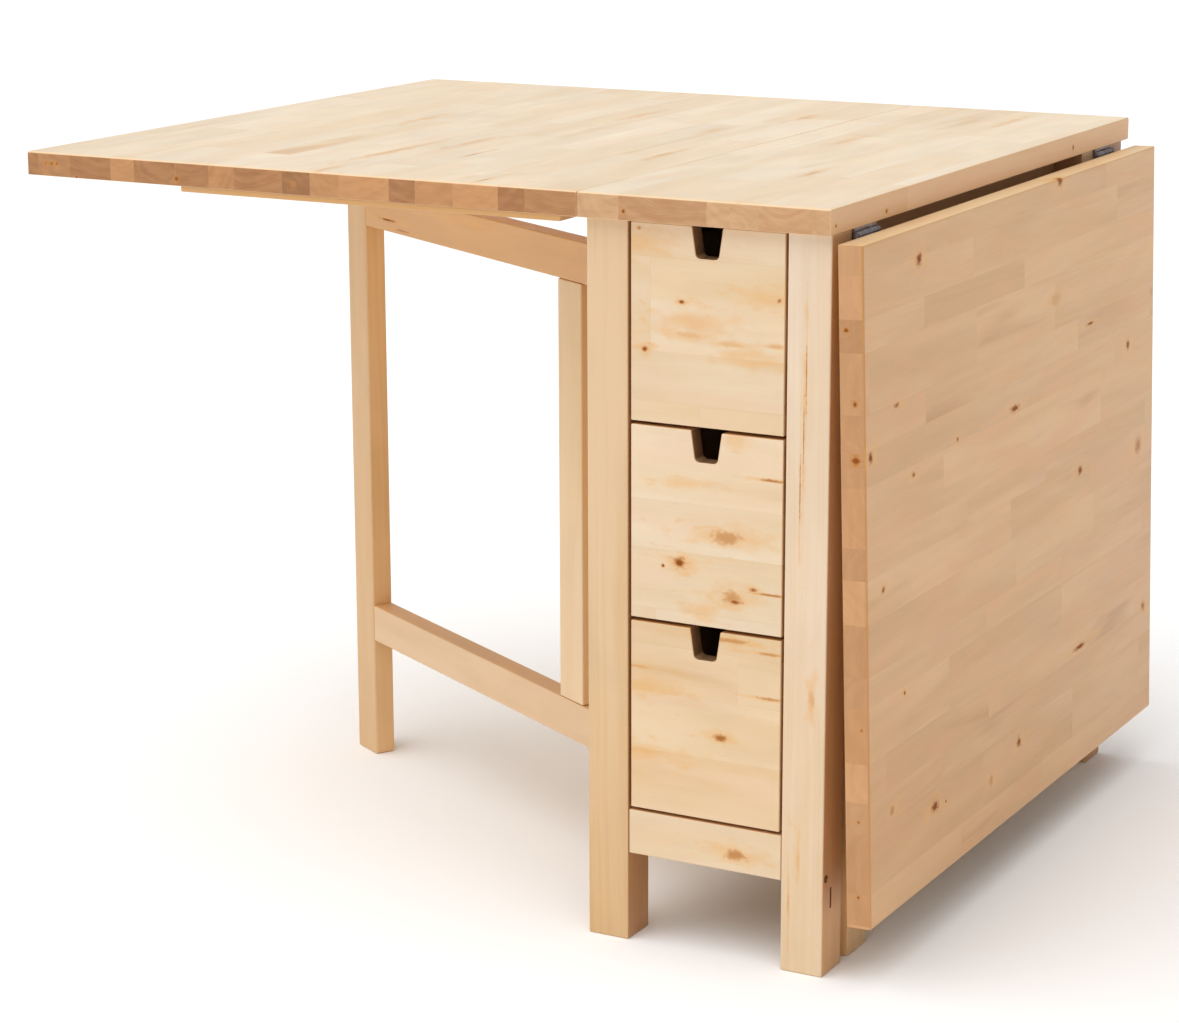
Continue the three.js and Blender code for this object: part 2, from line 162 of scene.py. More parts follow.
UPPER_RAIL_WOOD = LEG_WOOD._replace(
    pale=(0.74, 0.42, 0.17), tan=(0.64, 0.335, 0.11), rosy=(0.71, 0.37, 0.145), heart=0.5,
    cheeks=(0.90, 0.78, 0.64), far_cheek=1.0,
)
LOWER_RAIL_WOOD = UPPER_RAIL_WOOD._replace(
    pale=(0.77, 0.53, 0.31), tan=(0.68, 0.43, 0.21), rosy=(0.73, 0.47, 0.26)
)
BATTEN_WOOD = LEG_WOOD._replace(
    pale=(0.74, 0.44, 0.19), tan=(0.66, 0.37, 0.14), cheeks=(0.95, 0.88, 0.78), far_cheek=1.0
)
# The walls of the legs' bolt holes and kerfs are dark brown: painted shade inside these recesses.
CUT_SHADE_WOOD = LEG_WOOD._replace(
    pale=(0.32, 0.14, 0.055), tan=(0.22, 0.09, 0.03), rosy=(0.28, 0.11, 0.04), cheeks=(1.0, 1.0, 1.0),
    end_pale=(0.30, 0.13, 0.05), end_dark=(0.18, 0.075, 0.03),
)
# The drawer fronts' notches are dark brown inside: painted shade in the recess.
NOTCH_SHADE_WOOD = CUT_SHADE_WOOD._replace(
    pale=(0.28, 0.16, 0.08), tan=(0.21, 0.11, 0.05), rosy=(0.25, 0.13, 0.06),
    end_pale=(0.22, 0.11, 0.045), end_dark=(0.15, 0.07, 0.028),
)
INNER_WOOD = LEG_WOOD._replace(
    pale=(0.84, 0.62, 0.38), tan=(0.76, 0.52, 0.28), rosy=(0.80, 0.55, 0.32), heart=0.25,
    cheeks=(1.0, 1.0, 1.0),
)

KNOT_HALO = (0.78, 0.40, 0.105, 1.0)
KNOT_RING = (0.55, 0.23, 0.05, 1.0)
KNOT_CORE = (0.29, 0.078, 0.012, 1.0)

# A knot's place is in millimetres along and across the grain from the middle of its board. One with
# a depth is a ball at that depth, and one without goes right through the board.
Knot = namedtuple("Knot", "along across radius dark stretch depth", defaults=(1.0, 1.0, None))

KNOTS = {
    "leaf_right": [
        Knot(-272, -294, 6, 0.8), Knot(88, -200, 5, 0.35, 2.2), Knot(192, -158, 1.6, 0.8, 7),
        Knot(314, -115, 5, 0.9), Knot(-327, -166, 2.2, 0.6, 2.5), Knot(-28, -107, 3.0, 0.75, 4),
        Knot(-180, -105, 2.2, 0.7), Knot(-289, -92, 2.6, 0.7, 1.4), Knot(-388, -128, 4.6, 0.8),
        Knot(163, -4, 4.4, 0.9, 1.5), Knot(350, 6, 8, 0.5), Knot(-362, 2, 3.2, 0.7),
        Knot(-315, 114, 2.4, 0.9), Knot(165, 192, 2.6, 0.8, 6), Knot(-17, 248, 5, 0.8),
        Knot(-242, 249, 5, 0.9, 1.6), Knot(-215, 252, 1.8, 1.0), Knot(-95, 267, 4, 0.4),
        Knot(372, 197, 5, 0.6), Knot(-347, 221, 4, 0.45), Knot(100, -322, 5.5, 0.7, 1.3, -12),
        Knot(-400, -247, 2.6, 0.75, 1, 5.1), Knot(-400, -179, 2.8, 0.9, 1, -2.8),
        Knot(-400, -127, 4.8, 0.9, 1, -3), Knot(-400, 128, 1.8, 0.6, 1, -5.5),
        Knot(-400, 292, 2.0, 0.8, 1, 0), Knot(-400, 218, 1.8, 0.6, 1, -1),
    ],
    "leaf_left": [
        Knot(165, 92, 3.5, 0.12, 4), Knot(78, 228, 3, 0.15, 3), Knot(-130, 276, 2.4, 0.25, 7),
        Knot(227, 268, 3, 0.25, 2.5), Knot(20, -106, 3.5, 0.15, 5), Knot(-236, 15, 3.5, 0.2, 7),
        Knot(-217, 102, 1.4, 0.35, 9), Knot(-381, 31, 2.4, 0.15, 4), Knot(-375, 209, 1.2, 0.4, 8),
        Knot(-121, 49, 3, 0.1, 5), Knot(-400, -299, 2.4, 0.5, 1, -1), Knot(-400, -292, 2.4, 0.6, 1, -1),
        Knot(-400, -285, 2.0, 0.6, 1, -1.5), Knot(-400, -260, 1.8, 0.8, 1, 11),
        Knot(-400, -135, 3.2, 0.7, 1, 5), Knot(-400, 6, 2.2, 0.5, 1, 1.6),
    ],
    "centre_top": [
        Knot(-400, -81, 1.9, 1.0, 1, 3.5), Knot(-189, 14, 2.6, 0.3, 4), Knot(68, -61, 3, 0.12, 5),
        Knot(-275, 130, 2.2, 1.0, 1, 5.6), Knot(-389, 130, 1.7, 0.8, 1, 4.1), Knot(223, 130, 2.6, 1.0, 1, 2),
        Knot(-400, 38, 5, 0.15, 1, 4), Knot(290, 30, 3, 0.12, 5),
    ],
    "drawer_front_top_face": [
        Knot(-65, -25, 2.6, 1.0), Knot(-26, 23, 1.5, 1.0, 1.5), Knot(-13, 5, 6, 0.2, 1.6),
        Knot(-19, -8, 2.4, 0.25, 4), Knot(26, -13, 2, 0.25, 4), Knot(40, -21, 3, 0.16, 3),
        Knot(53, -28, 2.6, 0.16, 4), Knot(66, 33, 5, 0.16, 2.2), Knot(74, 32, 1.8, 0.55),
        Knot(-79, 75, 7, 0.14, 2), Knot(-71, 89, 1.5, 0.4), Knot(71, -11, 1.4, 0.3, 4),
    ],
    "drawer_front_middle_face": [
        Knot(-28, -35, 4.4, 0.9, 1.3), Knot(-45, -40, 1.4, 1.0), Knot(22, -5, 5, 0.4, 2.2),
        Knot(28, -63, 5, 0.4, 1.4), Knot(31, -66, 2.2, 0.7, 2.2), Knot(50, -52, 1.8, 0.6, 1.6),
        Knot(69, -55, 1.0, 0.5, 14), Knot(68, 55, 1.1, 0.5, 9), Knot(-3, -79, 5, 0.08), Knot(31, 90, 4, 0.1),
        Knot(-25, 43, 3, 0.08, 3),
    ],
    "drawer_front_low_face": [
        Knot(17, -10, 3.0, 0.6, 1.8), Knot(27, 88, 1.8, 0.4, 8), Knot(69, 80, 1.2, 0.4, 8),
        Knot(70, 36, 1.2, 0.4, 8), Knot(-78, -36, 5, 0.1, 3), Knot(-73, 49, 1.2, 0.3, 8),
        Knot(-65, 30, 5, 0.07, 2),
    ],
    "plinth_rail_front": [Knot(34, -5.5, 4.5, 0.45, 1.7), Knot(22, -1, 3, 0.15, 2)],
    "gate_left_upper_rail": [
        Knot(238, -8, 1.3, 0.8, 14), Knot(205, -16, 1.1, 0.5, 12), Knot(118, -23, 1.4, 0.6, 8),
        Knot(-205, -8, 2.0, 0.5, 3), Knot(60, 12, 3.5, 0.1, 6),
    ],
    "leg_front_right": [
        Knot(-82, 8, 2.2, 0.3, 3), Knot(-244, -4, 1.2, 0.25, 6), Knot(-288, -14, 0.8, 0.3, 12),
        Knot(225, -2, 0.5, 0.5, 45), Knot(170, -4, 0.5, 0.5, 50), Knot(115, -7, 0.5, 0.55, 45),
    ],
}


class Shade:
    """One node material: each method adds one node and gives back its output."""

    def __init__(self, name):
        self.material = bpy.data.materials.new(name)
        self.material.use_nodes = True
        self.tree = self.material.node_tree
        self.surface = self.tree.nodes["Principled BSDF"]

    def feed(self, socket, value):
        if isinstance(value, bpy.types.NodeSocket):
            self.tree.links.new(value, socket)
        else:
            socket.default_value = value

    def node(self, kind, inputs, output=0, **settings):
        made = self.tree.nodes.new("ShaderNode" + kind)
        for key, value in settings.items():
            setattr(made, key, value)
        for key, value in inputs.items():
            self.feed(made.inputs[key], value)
        return made.outputs if output is None else made.outputs[output]

    def math(self, operation, a, b=0.0, c=0.0):
        return self.node("Math", {0: a, 1: b, 2: c}, operation=operation)

    def total(self, *values):
        so_far = values[0]
        for value in values[1:]:
            so_far = self.math("ADD", so_far, value)
        return so_far

    def step(self, value, low, high, top=1.0):
        """0 below low and top above high, with a smooth change between."""
        inputs = {"Value": value, "From Min": low, "From Max": high, "To Max": top}
        return self.node("MapRange", inputs, interpolation_type="SMOOTHSTEP")

    def mix(self, share, a, b):
        return self.node("Mix", {0: share, 6: a, 7: b}, 2, data_type="RGBA")

    def point(self, x, y, z):
        return self.node("CombineXYZ", {0: x, 1: y, 2: z})

    def split(self, vector):
        return self.node("SeparateXYZ", {0: vector}, None)

    def stretched(self, vector, x, y, z):
        return self.node("VectorMath", {0: vector, 1: (x, y, z)}, operation="MULTIPLY")

    def brightened(self, colour, factor):
        return self.node("VectorMath", {0: colour, "Scale": factor}, operation="SCALE")

    def noise(self, vector, detail=2.0, distortion=0.0):
        inputs = {"Vector": vector, "Scale": 1.0, "Detail": detail, "Distortion": distortion}
        return self.node("TexNoise", inputs)

    def noise_along(self, value, detail=2.0):
        return self.node("TexNoise", {"W": value, "Scale": 1.0, "Detail": detail}, noise_dimensions="1D")

    def random(self, vector):
        """Three random numbers that stay the same all over one cell."""
        colour = self.node("TexWhiteNoise", {"Vector": vector}, "Color")
        return self.node("SeparateColor", {0: colour}, None)


def rgba(colour):
    return (*colour, 1.0)


def staves(shade, x, y, stave, block, seed):
    """Staves of uneven width side by side, each of them finger-jointed from blocks."""
    row = shade.math("MULTIPLY_ADD", y, 1 / stave, seed * 0.37 + 40)
    wave = shade.math("SINE", shade.math("MULTIPLY", row, 2.3))
    row = shade.math("MULTIPLY_ADD", wave, 0.2, row)
    row_number = shade.math("FLOOR", row)
    across = shade.math("FRACT", row)
    slide = shade.random(shade.point(row_number, seed, 0.5))[0]
    place = shade.math("MULTIPLY_ADD", x, 1 / block, shade.math("MULTIPLY_ADD", slide, 9.0, 40))
    wave = shade.math("SINE", shade.math("MULTIPLY", place, 1.7))
    place = shade.math("MULTIPLY_ADD", wave, 0.25, place)
    along = shade.math("FRACT", place)
    chance = shade.random(shade.point(row_number, shade.math("FLOOR", place), seed))

    def from_edge(share, size):
        return shade.math("MULTIPLY", shade.math("MINIMUM", share, shade.math("SUBTRACT", 1.0, share)), size)

    nearest = shade.math("MINIMUM", from_edge(across, stave), from_edge(along, block))
    seam = shade.math("SUBTRACT", 1.0, shade.step(nearest, 0.0001, 0.0006))
    in_stave = shade.math("MULTIPLY", shade.math("SUBTRACT", across, 0.5), stave)
    return chance, in_stave, seam


def knot_marks(shade, distance, smear, radius, dark):
    """How strong a knot's core, ring and halo are, and how far it pushes the growth rings aside."""
    def fading(measure, far, near):
        return shade.step(measure, shade.math("MULTIPLY", radius, far), shade.math("MULTIPLY", radius, near))

    solid = shade.step(dark, 0.3, 0.8)
    tinted = shade.step(dark, 0.15, 0.5, 0.85)
    core = shade.math("MULTIPLY", fading(distance, 1.1, 0.35), solid)
    ring = shade.math("MULTIPLY", fading(distance, 1.8, 0.7), tinted)
    halo = shade.math("MULTIPLY", fading(smear, 3.3, 0.2), shade.math("MULTIPLY_ADD", dark, 0.3, 0.7))
    push = shade.math("MULTIPLY", fading(distance, 4.5, 0.0), shade.math("MULTIPLY", radius, 3.0))
    return core, ring, halo, push


def knot_distances(shade, knot, x, y, z, uneven, smeared):
    """How far a point is from a chosen knot, plainly and along the grain's smear."""
    along = shade.math("MULTIPLY", shade.math("SUBTRACT", x, knot.along / 1000), 1 / knot.stretch)
    across = shade.math("SUBTRACT", y, knot.across / 1000)
    rest = shade.math("MULTIPLY", across, across)
    if knot.depth is not None:
        under = shade.math("SUBTRACT", z, knot.depth / 1000)
        rest = shade.math("MULTIPLY_ADD", under, under, rest)
    squares = shade.math("MULTIPLY", along, along)
    near = shade.math("SQRT", shade.math("ADD", squares, rest))
    wide = shade.math("SQRT", shade.math("MULTIPLY_ADD", squares, 0.3, rest))
    return shade.math("MULTIPLY", near, uneven), shade.math("MULTIPLY", wide, smeared)


def add_knots(shade, x, y, z, chance, knots, knottiness):
    """The chosen knots and the loose ones between them, as core, ring, halo and push."""
    fine = shade.noise(shade.point(shade.math("MULTIPLY", x, 190), shade.math("MULTIPLY", y, 300), 1.7), 3)
    uneven = shade.math("MULTIPLY_ADD", fine, 1.9, 0.1)
    coarse = shade.noise(shade.point(shade.math("MULTIPLY", x, 55), shade.math("MULTIPLY", y, 120), 4.2), 3)
    smeared = shade.math("MULTIPLY_ADD", coarse, 3.0, -0.4)
    cells = shade.point(
        shade.math("MULTIPLY_ADD", x, 5.5, shade.math("MULTIPLY", chance[0], 31)),
        shade.math("MULTIPLY_ADD", y, 9.0, shade.math("MULTIPLY", chance[1], 17)),
        shade.math("MULTIPLY", chance[2], 13),
    )
    cell = shade.node("TexVoronoi", {"Vector": cells, "Scale": 1.0}, None)
    luck = shade.node("SeparateColor", {0: cell["Color"]}, None)
    away = shade.math("MULTIPLY", cell["Distance"], 0.13)
    size = shade.math("MULTIPLY_ADD", shade.math("POWER", luck[0], 3.0), 0.0028, 0.0008)
    shown = shade.step(luck[1], 1.0 - knottiness, 1.0 - knottiness * 0.6)
    marks = knot_marks(
        shade,
        shade.math("MULTIPLY", away, uneven),
        shade.math("MULTIPLY", away, smeared),
        size,
        shade.math("MULTIPLY", shown, luck[2]),
    )
    marks = [shade.math("MULTIPLY", mark, shown) for mark in marks]
    for knot in knots:
        distance, smear = knot_distances(shade, knot, x, y, z, uneven, smeared)
        chosen = knot_marks(shade, distance, smear, knot.radius / 1000, knot.dark)
        marks = [shade.math("MAXIMUM", mark, other) for mark, other in zip(marks, chosen)]
    return marks


def birch(
    name, centre, axes, turn, timber, seed, stave=None, block=0.33, knots=(), knottiness=0.25, deepening=0.0
):
    """
    Pale solid wood whose grain runs along the first of the axes and whose width is the second. The
    shade falloff is how much tanner the wood gets in each metre against the grain's direction: painted
    shade, which makes the legs darker towards the floor.
    """
    shade = Shade(name)
    grain = Vector([float(letter == axes[0]) for letter in "xyz"])
    width = Vector([float(letter == axes[1]) for letter in "xyz"])
    basis = Matrix((grain, width, grain.cross(width))).to_4x4()
    place = basis @ Matrix.Translation(-centre) @ turn
    source = shade.node("TexCoord", {}, None)
    spin = place.to_euler()
    position = shade.node(
        "Mapping", {"Vector": source["Object"], "Location": place.translation, "Rotation": spin}
    )
    facing = shade.node("Mapping", {"Vector": source["Normal"], "Rotation": spin}, vector_type="VECTOR")
    x, y, z = shade.split(position)
    if stave:
        chance, in_stave, seam = staves(shade, x, y, stave, block, seed)
    else:
        chance = [(seed * share) % 1.0 for share in (0.618, 0.414, 0.732)]
        in_stave, seam = y, 0.0

    core, ring_mark, halo, push = add_knots(shade, x, y, z, chance, knots, knottiness)
    own = shade.point(
        shade.math("MULTIPLY_ADD", chance[0], 4.0, x),
        shade.math("MULTIPLY_ADD", chance[1], 3.0, y),
        shade.math("MULTIPLY_ADD", chance[2], 3.0, z),
    )

    def centred(value, share):
        return shade.math("MULTIPLY_ADD", value, share, -share / 2)

    # Growth rings round a pith that lies under the board and leans a little along it.
    wander = shade.noise(shade.stretched(own, 2.2, 11, 11), 2)
    pith_across = shade.math("ADD", centred(chance[1], 0.07), in_stave)
    pith_under = shade.math("ADD", shade.math("MULTIPLY_ADD", chance[2], 0.05, 0.02), z)
    lean = shade.math("MULTIPLY", shade.math("SUBTRACT", chance[0], 0.5), x)
    from_pith = shade.math("SQRT", shade.math(
        "MULTIPLY_ADD", pith_across, pith_across, shade.math("MULTIPLY", pith_under, pith_under)
    ))
    radius = shade.total(
        from_pith,
        push,
        shade.math("MULTIPLY", wander, 0.034),
        shade.math("MULTIPLY", lean, 0.035),
    )
    band_start = shade.math("MULTIPLY", chance[0], 50)
    bands = shade.noise_along(shade.math("MULTIPLY_ADD", radius, 110, band_start), 2)
    ring = shade.math("FRACT", shade.math("MULTIPLY", radius, 1 / RING_WIDTH))
    late = shade.math("SUBTRACT", shade.step(ring, 0.35, 0.85), shade.step(ring, 0.85, 1.0))

    fibre = shade.noise(shade.stretched(own, 16, 620, 620), 3)
    fleck = shade.step(shade.noise(shade.stretched(own, 80, 950, 950), 1), 0.67, 0.75)
    broad = shade.step(shade.noise(shade.stretched(own, 2.4, 17, 17), 2, 0.6), 0.34, 0.66)
    blush = shade.step(shade.noise(shade.stretched(own, 4.6, 23, 23), 2, 0.8), 0.45, 0.70)
    heart = shade.step(shade.noise(shade.stretched(own, 2.6, 21, 21), 3, 0.5), 0.60, 0.78)
    smudge = shade.noise(shade.stretched(own, 9, 16, 16), 3, 0.9)

    # Pale wood with broad tan and rosy patches, faint growth rings and a few brown streaks.
    tone = shade.total(
        shade.math("MULTIPLY", broad, timber.patch * 0.62),
        shade.math("MULTIPLY", shade.step(bands, 0.36, 0.68), 0.20),
        shade.math("MULTIPLY", late, 0.05),
        centred(fibre, 0.32),
        # Without staves, painted shade grows against the grain's direction by the shade falloff.
        centred(chance[2], timber.contrast) if stave else shade.math("MULTIPLY", x, -deepening),
    )
    colour = shade.mix(tone, rgba(timber.pale), rgba(timber.tan))
    colour = shade.mix(shade.math("MULTIPLY", blush, timber.patch * 0.6), colour, rgba(timber.rosy))
    colour = shade.mix(shade.math("MULTIPLY", heart, timber.heart), colour, rgba(timber.brown))
    colour = shade.mix(shade.math("MULTIPLY", fleck, 0.16), colour, rgba(timber.brown))
    light = shade.total(1.0, centred(smudge, 0.14), centred(chance[1], timber.tint))
    colour = shade.brightened(colour, light)

    # The board's narrow sides take a tint of painted shade, which is painted light where it is above 1, with less
    # of it on the far side.
    sideways = shade.split(facing)[1]
    other_way = shade.math("MULTIPLY", sideways, -1.0)
    side_shading_share = shade.math(
        "MAXIMUM", shade.step(sideways, 0.65, 0.9), shade.step(other_way, 0.65, 0.9, timber.far_cheek)
    )
    side_shaded = shade.node("VectorMath", {0: colour, 1: timber.cheeks}, operation="MULTIPLY")
    colour = shade.mix(side_shading_share, colour, side_shaded)

    # End grain: warmer, darker, with the rings' soft arcs and fine pores.
    along_grain = shade.math("ABSOLUTE", shade.split(facing)[0])
    is_end = shade.step(along_grain, 0.74, 0.94)
    corner = shade.math("SUBTRACT", shade.step(along_grain, 0.12, 0.4), shade.step(along_grain, 0.75, 0.95))
    pores = shade.noise(shade.stretched(own, 300, 1900, 1900), 1)
    cloud = shade.noise(shade.stretched(own, 10, 45, 150), 2)
    end_tone = shade.total(
        shade.math("MULTIPLY", late, 0.10),
        centred(shade.step(bands, 0.3, 0.7), 0.22),
        centred(pores, 0.35),
        centred(cloud, 0.8),
        shade.math("MULTIPLY_ADD", chance[0], 0.95, 0.02),
    )
    end_colour = shade.mix(end_tone, rgba(timber.end_pale), rgba(timber.end_dark))
    end_light = shade.math("ADD", centred(chance[1], 0.16), 1.0)
    colour = shade.mix(is_end, colour, shade.brightened(end_colour, end_light))
    colour = shade.mix(shade.math("MULTIPLY", corner, timber.rim), colour, rgba(timber.edge))
    colour = shade.mix(shade.math("MULTIPLY", seam, timber.joint), colour, rgba(timber.brown))

    softer = shade.mix(0.5, colour, KNOT_HALO)
    halo = shade.math("MULTIPLY", halo, shade.math("MULTIPLY_ADD", is_end, -0.85, 0.85))
    colour = shade.mix(halo, colour, shade.mix(fibre, KNOT_HALO, softer))
    colour = shade.mix(ring_mark, colour, KNOT_RING)
    colour = shade.mix(core, colour, KNOT_CORE)

    rough = shade.total(
        0.36,
        centred(fibre, 0.20),
        centred(smudge, 0.14),
        shade.math("MULTIPLY", is_end, 0.16),
        shade.math("MULTIPLY", core, 0.3),
    )
    height = shade.total(
        shade.math("MULTIPLY", fibre, 0.5),
        shade.math("MULTIPLY", late, 0.2),
        shade.math("MULTIPLY", pores, 0.25),
        shade.math("MULTIPLY", seam, -0.7),
        shade.math("MULTIPLY", core, -0.6),
        shade.math("MULTIPLY", fleck, -0.4),
    )
    bump = shade.node("Bump", {"Strength": 0.3, "Distance": 0.0003, "Height": height})
    shade.feed(shade.surface.inputs["Base Color"], colour)
    shade.feed(shade.surface.inputs["Roughness"], rough)
    shade.feed(shade.surface.inputs["Normal"], bump)
    shade.feed(shade.surface.inputs["Specular IOR Level"], shade.math("MULTIPLY_ADD", core, -0.4, 0.5))
    return shade.material


def zinc(name, dull, bright, grain_along):
    """Zinc-plated steel: cloudy plating, fine drawing lines and a few dull specks."""
    shade = Shade(name)
    source = shade.node("TexCoord", {}, None)["Object"]
    lines = shade.noise(shade.stretched(source, *grain_along), 2)
    cloud = shade.noise(shade.stretched(source, 110, 110, 110), 4)
    speck = shade.step(shade.noise(shade.stretched(source, 900, 900, 900), 1), 0.66, 0.76)
    tone = shade.total(
        shade.math("MULTIPLY", lines, 0.45),
        shade.math("MULTIPLY", shade.step(cloud, 0.35, 0.65), 0.55),
    )
    colour = shade.mix(tone, rgba(dull), rgba(bright))
    colour = shade.mix(shade.math("MULTIPLY", speck, 0.5), colour, (0.10, 0.09, 0.085, 1.0))
    rough = shade.total(0.26, shade.math("MULTIPLY", cloud, 0.22), shade.math("MULTIPLY", speck, 0.2))
    height = shade.total(lines, shade.math("MULTIPLY", speck, -0.6))
    bump = shade.node("Bump", {"Strength": 0.3, "Distance": 0.0002, "Height": height})
    shade.feed(shade.surface.inputs["Base Color"], colour)
    shade.feed(shade.surface.inputs["Roughness"], rough)
    shade.feed(shade.surface.inputs["Normal"], bump)
    shade.surface.inputs["Metallic"].default_value = 1.0
    return shade.material


# The plating's tones are kept dark: painted shade for the hinges that sit in shadow under the top, which the
# screws and pivot pins share.
SHADED_STEEL = zinc("zinc_plate", (0.17, 0.16, 0.18), (0.40, 0.38, 0.42), (1200, 60, 1200))
BOLT = zinc("blued_bolt", (0.07, 0.065, 0.06), (0.20, 0.19, 0.18), (600, 600, 600))

# --- Frames and meshes --------------------------------------------------------------------------


def to_limit(joint):
    """The turn that takes a hinged body from rest to its joint's upper limit."""
    centre = Matrix.Translation(Vector(joint["pos_m"]))
    turn = Matrix.Rotation(math.radians(joint["range_deg"][1]), 4, Vector(joint["axis"]))
    return centre @ turn @ centre.inverted()


SQUARED = {
    "right_leaf": to_limit(JOINTS["right_leaf_hinge"]),
    "left_gate": to_limit(JOINTS["left_gate_pivot"]),
}


def squared(node):
    return SQUARED.get(NODE_BODY[node], Matrix.Identity(4))


def squared_box(node):
    """A node's lowest and highest corner in the frame where its body is square."""
    turn = squared(node)
    corners = [turn @ vertex.co for vertex in frame["nodes"][node].data.vertices]
    low = Vector([min(corner[axis] for corner in corners) for axis in range(3)])
    high = Vector([max(corner[axis] for corner in corners) for axis in range(3)])
    return low, high


def add_board(mesh, low, high, edge, slot=0, segments=4):
    """A board with every edge rounded."""
    before = set(mesh.faces)
    made = bmesh.ops.create_cube(mesh, size=1)
    low, high = Vector(low), Vector(high)
    for vertex in made["verts"]:
        share = vertex.co + Vector((0.5, 0.5, 0.5))
        vertex.co = low + Vector([share[axis] * (high - low)[axis] for axis in range(3)])
    edges = list({edge_of for vertex in made["verts"] for edge_of in vertex.link_edges})
    if edge:
        bmesh.ops.bevel(mesh, geom=edges, offset=edge, segments=segments, profile=0.5, affect="EDGES")
    for face in set(mesh.faces) - before:
        face.material_index = slot


def add_block(mesh, low, high, weigh):
    """A sharp board. Each edge keeps the share of the rounding that weigh gives for its two ends."""
    add_board(mesh, low, high, 0)
    share = mesh.edges.layers.float.new("bevel_weight_edge")
    for line in mesh.edges:
        line[share] = weigh(*[vertex.co for vertex in line.verts])


def add_turned(mesh, outline, origin, axis, slot=0, steps=32):
    """A closed solid of revolution. The outline is (distance along the axis, radius) pairs."""
    before = set(mesh.faces)
    turn = Vector((0, 0, 1)).rotation_difference(Vector(axis)).to_matrix()
    rings = []
    for along, radius in outline:
        ring = []
        for step in range(steps):
            angle = 2 * math.pi * step / steps
            place = Vector((radius * math.cos(angle), radius * math.sin(angle), along))
            ring.append(mesh.verts.new(Vector(origin) + turn @ place))
        rings.append(ring)
    for lower, upper in zip(rings, rings[1:]):
        for step in range(steps):
            following = (step + 1) % steps
            mesh.faces.new((lower[step], lower[following], upper[following], upper[step]))
    mesh.faces.new(list(reversed(rings[0])))
    mesh.faces.new(rings[-1])
    for face in set(mesh.faces) - before:
        face.material_index = slot


def softened(node, edge, shortest=0.0):
    """The node's own shape, in its squared frame, with its outward edges rounded."""
    mesh = bmesh.new()
    mesh.from_mesh(frame["nodes"][node].data)
    mesh.transform(squared(node))
    bmesh.ops.remove_doubles(mesh, verts=mesh.verts, dist=1e-6)
    bmesh.ops.dissolve_limit(mesh, angle_limit=math.radians(1), verts=mesh.verts, edges=mesh.edges)
    chosen = [
        line
        for line in mesh.edges
        if line.is_convex and line.calc_face_angle(0) > CORNER_ANGLE and line.calc_length() > shortest
    ]
    bmesh.ops.bevel(
        mesh, geom=chosen, offset=edge, segments=3, profile=0.5, affect="EDGES", clamp_overlap=True
    )
    for face in mesh.faces:
        face.material_index = 0
    return mesh


def new_object(name, mesh):
    data = bpy.data.meshes.new(name)
    mesh.to_mesh(data)
    mesh.free()
    made = bpy.data.objects.new(name, data)
    bpy.context.scene.collection.objects.link(made)
    return made


def settle(piece):
    """Makes the work of the piece's modifiers part of its mesh."""
    graph = bpy.context.evaluated_depsgraph_get()
    settled = bpy.data.meshes.new_from_object(piece.evaluated_get(graph))
    piece.modifiers.clear()
    piece.data = settled


def round_off(piece, widest):
    """Rounds the edges by the shares that they carry."""
    rounding = piece.modifiers.new("round_off", "BEVEL")
    rounding.width = widest
    rounding.segments = 4
    rounding.limit_method = "WEIGHT"
    settle(piece)


def carve(piece, tool_mesh):
    """Cuts the tool's closed shapes out of the piece."""
    tool = new_object("carving_tool", tool_mesh)
    cutting = piece.modifiers.new("carve", "BOOLEAN")
    cutting.operation = "DIFFERENCE"
    cutting.solver = "EXACT"
    cutting.object = tool
    settle(piece)
    bpy.data.objects.remove(tool)


def place_piece(name, mesh, nodes, materials, tool=None, rounding=None):
    """Makes the mesh a piece that stands for CAD nodes and rides on their body."""
    piece = new_object(name, mesh)
    for material in materials:
        piece.data.materials.append(material)
    if rounding:
        round_off(piece, rounding)
    if tool:
        carve(piece, tool)
    piece.data.transform(squared(nodes[0]).inverted())
    piece.data.shade_smooth()
    piece.data.set_sharp_from_angle(angle=CREASE_ANGLE)
    evened = piece.modifiers.new("even_shading", "WEIGHTED_NORMAL")
    evened.keep_sharp = True
    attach(piece, NODE_BODY[nodes[0]])
    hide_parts(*nodes)
    return piece


CUT_SEED = 1.0
NOTCH_SEED = 2.0
seeds = iter(range(3, 4000, 7))


def node_wood(node, axes, timber, **grain):
    """A wood of its own for one node, so that no two pieces show the same grain."""
    low, high = squared_box(node)
    grain.setdefault("knots", KNOTS.get(node, ()))
    return birch(node + "_wood", (low + high) / 2, axes, squared(node), timber, next(seeds) / 10, **grain)


# --- Screws and bolts ---------------------------------------------------------------------------


def add_screw(mesh, head, outward, radius, slot):
    """A countersunk screw head, slightly domed, with a shallow round socket."""
    outline = [
        (-0.0012, radius * 0.45), (-0.0002, radius * 0.97), (0.0, radius), (0.00015, radius * 0.96),
        (0.0003, radius * 0.7), (0.00036, radius * 0.42), (-0.0005, radius * 0.34),
    ]
    add_turned(mesh, outline, head, outward, slot, 20)


# --- Tops and leaves ----------------------------------------------------------------------------


def hinge_box(node, direction, side):
    """The space for a hinge plate in a board, as its lowest and highest corner."""
    low, high = squared_box(node)
    axis_x = JOINTS[f"{side}_leaf_hinge"]["pos_m"][0]
    near = axis_x + direction * (HINGE_LINK_INSET - GAP)
    far = (high if direction > 0 else low).x + direction * GAP
    underside = high.z - PLATE
    return (
        Vector((min(near, far), low.y - GAP, underside - 0.004)),
        Vector((max(near, far), high.y + GAP, high.z + GAP)),
    )


